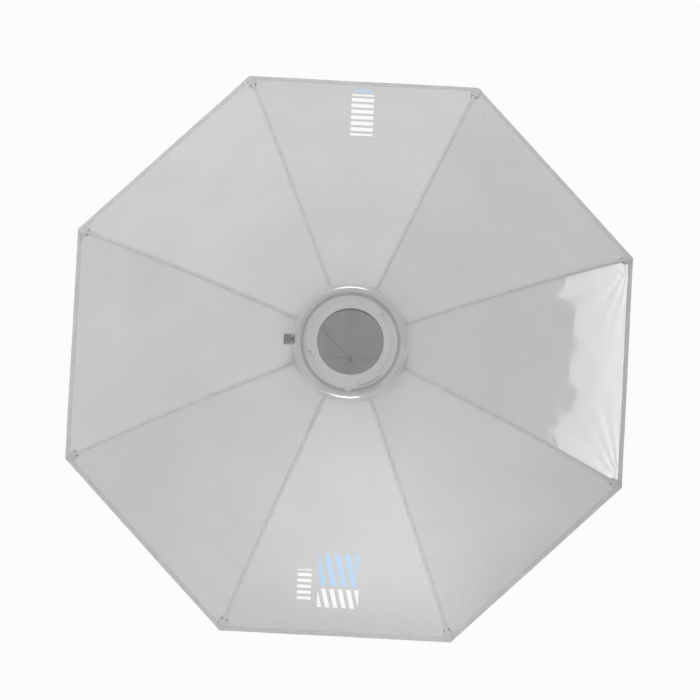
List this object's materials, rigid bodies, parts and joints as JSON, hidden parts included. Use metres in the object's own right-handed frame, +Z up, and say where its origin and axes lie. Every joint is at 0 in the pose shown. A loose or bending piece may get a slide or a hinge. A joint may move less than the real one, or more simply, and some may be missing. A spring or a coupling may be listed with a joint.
{
  "type": "folding octabox",
  "caption": "Folding octagonal softbox for a studio flash: curved fabric canopy on hinged bent ribs, front diffuser, glossy hub ring with a bayonet mount opening.",
  "frame": {"origin": "centre of the flash mount's bore at the hub's rear face", "axes": "+Y along the optical axis, the way the light leaves; +Z up; +X to the right seen from behind"},
  "size_m": [0.8454, 0.361, 0.8454],
  "materials": {
    "canopy_cloth": "light grey satin woven nylon, silver coated inside",
    "diffuser_cloth": "white translucent diffusion cloth",
    "hub_plastic": "light grey gloss",
    "insert_metal": "satin turned",
    "ring_metal": "grey powder coat",
    "steel": "bright steel",
    "rib_steel": "spring steel rod",
    "knuckle_plastic": "glass-filled nylon",
    "tip_rubber": "matte",
    "knob_plastic": "fine texture"
  },
  "bodies": {
    "hub": {"hub_housing": "hub_plastic", "retainer_ring": "steel", "rib_ring": "ring_metal", "rib_pins": "steel", "housing_screws": "steel", "guide_posts": "steel"},
    "insert": {"mount_insert": "insert_metal"},
    "lock_knob": {"insert_lock_knob": "knob_plastic"},
    "collar": {"slide_collar": "insert_metal", "lever_pin": "steel"},
    "clamp_lever": {"collar_lock_lever": "knob_plastic"},
    "rib_1": {"rib_1_rod": "rib_steel", "rib_1_knuckle": "knuckle_plastic", "rib_1_tip_cap": "tip_rubber", "canopy_panel_1": "canopy_cloth"},
    "diffuser_1": {"diffuser_panel_1": "diffuser_cloth"},
    "rib_2": {"rib_2_rod": "rib_steel", "rib_2_knuckle": "knuckle_plastic", "rib_2_tip_cap": "tip_rubber", "canopy_panel_2": "canopy_cloth"},
    "diffuser_2": {"diffuser_panel_2": "diffuser_cloth"},
    "rib_3": {"rib_3_rod": "rib_steel", "rib_3_knuckle": "knuckle_plastic", "rib_3_tip_cap": "tip_rubber", "canopy_panel_3": "canopy_cloth"},
    "diffuser_3": {"diffuser_panel_3": "diffuser_cloth"},
    "rib_4": {"rib_4_rod": "rib_steel", "rib_4_knuckle": "knuckle_plastic", "rib_4_tip_cap": "tip_rubber", "canopy_panel_4": "canopy_cloth"},
    "diffuser_4": {"diffuser_panel_4": "diffuser_cloth"},
    "rib_5": {"rib_5_rod": "rib_steel", "rib_5_knuckle": "knuckle_plastic", "rib_5_tip_cap": "tip_rubber", "canopy_panel_5": "canopy_cloth"},
    "diffuser_5": {"diffuser_panel_5": "diffuser_cloth"},
    "rib_6": {"rib_6_rod": "rib_steel", "rib_6_knuckle": "knuckle_plastic", "rib_6_tip_cap": "tip_rubber", "canopy_panel_6": "canopy_cloth"},
    "diffuser_6": {"diffuser_panel_6": "diffuser_cloth"},
    "rib_7": {"rib_7_rod": "rib_steel", "rib_7_knuckle": "knuckle_plastic", "rib_7_tip_cap": "tip_rubber", "canopy_panel_7": "canopy_cloth"},
    "diffuser_7": {"diffuser_panel_7": "diffuser_cloth"},
    "rib_8": {"rib_8_rod": "rib_steel", "rib_8_knuckle": "knuckle_plastic", "rib_8_tip_cap": "tip_rubber", "canopy_panel_8": "canopy_cloth"},
    "diffuser_8": {"diffuser_panel_8": "diffuser_cloth"}
  },
  "joints": [
    {"name": "frame_fold", "type": "hinge", "parent": "hub", "child": "rib_1", "pos_m": [0.06652, 0.0295, 0.02755], "axis": [-0.3827, 0, 0.9239], "range_deg": [0, 47.43], "deforming": ["canopy_panel_1"]},
    {"name": "diffuser_1_fold", "type": "hinge", "parent": "rib_1", "child": "diffuser_1", "pos_m": [0.41667, 0.3505, 0.17259], "axis": [-0.3827, 0, 0.9239], "range_deg": [0, 31.07], "deforming": ["diffuser_panel_1"]},
    {"name": "rib_2_fold", "type": "hinge", "parent": "hub", "child": "rib_2", "pos_m": [0.02755, 0.0295, 0.06652], "axis": [-0.9239, 0, 0.3827], "range_deg": [0, 47.44], "deforming": ["canopy_panel_2"]},
    {"name": "diffuser_2_fold", "type": "hinge", "parent": "rib_2", "child": "diffuser_2", "pos_m": [0.17259, 0.3505, 0.41667], "axis": [-0.9239, 0, 0.3827], "range_deg": [0, 31.07], "deforming": ["diffuser_panel_2"]},
    {"name": "rib_3_fold", "type": "hinge", "parent": "hub", "child": "rib_3", "pos_m": [-0.02755, 0.0295, 0.06652], "axis": [-0.9239, 0, -0.3827], "range_deg": [0, 47.44], "deforming": ["canopy_panel_3"]},
    {"name": "diffuser_3_fold", "type": "hinge", "parent": "rib_3", "child": "diffuser_3", "pos_m": [-0.17259, 0.3505, 0.41667], "axis": [-0.9239, 0, -0.3827], "range_deg": [0, 31.07], "deforming": ["diffuser_panel_3"]},
    {"name": "rib_4_fold", "type": "hinge", "parent": "hub", "child": "rib_4", "pos_m": [-0.06652, 0.0295, 0.02755], "axis": [-0.3827, 0, -0.9239], "range_deg": [0, 47.44], "deforming": ["canopy_panel_4"]},
    {"name": "diffuser_4_fold", "type": "hinge", "parent": "rib_4", "child": "diffuser_4", "pos_m": [-0.41667, 0.3505, 0.17259], "axis": [-0.3827, 0, -0.9239], "range_deg": [0, 31.07], "deforming": ["diffuser_panel_4"]},
    {"name": "rib_5_fold", "type": "hinge", "parent": "hub", "child": "rib_5", "pos_m": [-0.06652, 0.0295, -0.02755], "axis": [0.3827, 0, -0.9239], "range_deg": [0, 47.44], "deforming": ["canopy_panel_5"]},
    {"name": "diffuser_5_fold", "type": "hinge", "parent": "rib_5", "child": "diffuser_5", "pos_m": [-0.41667, 0.3505, -0.17259], "axis": [0.3827, 0, -0.9239], "range_deg": [0, 31.07], "deforming": ["diffuser_panel_5"]},
    {"name": "rib_6_fold", "type": "hinge", "parent": "hub", "child": "rib_6", "pos_m": [-0.02755, 0.0295, -0.06652], "axis": [0.9239, 0, -0.3827], "range_deg": [0, 47.44], "deforming": ["canopy_panel_6"]},
    {"name": "diffuser_6_fold", "type": "hinge", "parent": "rib_6", "child": "diffuser_6", "pos_m": [-0.17259, 0.3505, -0.41667], "axis": [0.9239, 0, -0.3827], "range_deg": [0, 31.07], "deforming": ["diffuser_panel_6"]},
    {"name": "rib_7_fold", "type": "hinge", "parent": "hub", "child": "rib_7", "pos_m": [0.02755, 0.0295, -0.06652], "axis": [0.9239, 0, 0.3827], "range_deg": [0, 47.44], "deforming": ["canopy_panel_7"]},
    {"name": "diffuser_7_fold", "type": "hinge", "parent": "rib_7", "child": "diffuser_7", "pos_m": [0.17259, 0.3505, -0.41667], "axis": [0.9239, 0, 0.3827], "range_deg": [0, 31.07], "deforming": ["diffuser_panel_7"]},
    {"name": "rib_8_fold", "type": "hinge", "parent": "hub", "child": "rib_8", "pos_m": [0.06652, 0.0295, -0.02755], "axis": [0.3827, 0, 0.9239], "range_deg": [0, 47.44], "deforming": ["canopy_panel_8"]},
    {"name": "diffuser_8_fold", "type": "hinge", "parent": "rib_8", "child": "diffuser_8", "pos_m": [0.41667, 0.3505, -0.17259], "axis": [0.3827, 0, 0.9239], "range_deg": [0, 31.07], "deforming": ["diffuser_panel_8"]},
    {"name": "collar_slide", "type": "slide", "parent": "hub", "child": "collar", "axis": [0, -1, 0], "range_m": [0, 0.01287]},
    {"name": "clamp_lever_turn", "type": "hinge", "parent": "collar", "child": "clamp_lever", "pos_m": [0, 0.04693, 0.0616], "axis": [-1, 0, 0], "range_deg": [0, 80]},
    {"name": "insert_turn", "type": "hinge", "parent": "hub", "child": "insert", "pos_m": [0, 0, 0], "axis": [0, 1, 0], "continuous": true},
    {"name": "lock_knob_turn", "type": "hinge", "parent": "hub", "child": "lock_knob", "pos_m": [-0.086, 0.0072, 0], "axis": [-1, 0, 0], "range_deg": [0, 180]}
  ],
  "couplings": [
    {"joint": "diffuser_1_fold", "follows": "frame_fold", "ratio": 0.65492},
    {"joint": "rib_2_fold", "follows": "frame_fold", "ratio": 1},
    {"joint": "diffuser_2_fold", "follows": "frame_fold", "ratio": 0.65492},
    {"joint": "rib_3_fold", "follows": "frame_fold", "ratio": 1},
    {"joint": "diffuser_3_fold", "follows": "frame_fold", "ratio": 0.65492},
    {"joint": "rib_4_fold", "follows": "frame_fold", "ratio": 1},
    {"joint": "diffuser_4_fold", "follows": "frame_fold", "ratio": 0.65492},
    {"joint": "rib_5_fold", "follows": "frame_fold", "ratio": 1},
    {"joint": "diffuser_5_fold", "follows": "frame_fold", "ratio": 0.65492},
    {"joint": "rib_6_fold", "follows": "frame_fold", "ratio": 1},
    {"joint": "diffuser_6_fold", "follows": "frame_fold", "ratio": 0.65492},
    {"joint": "rib_7_fold", "follows": "frame_fold", "ratio": 1},
    {"joint": "diffuser_7_fold", "follows": "frame_fold", "ratio": 0.65492},
    {"joint": "rib_8_fold", "follows": "frame_fold", "ratio": 1},
    {"joint": "diffuser_8_fold", "follows": "frame_fold", "ratio": 0.65492},
    {"joint": "collar_slide", "follows": "frame_fold", "m_per_rad": 0.015547}
  ]
}
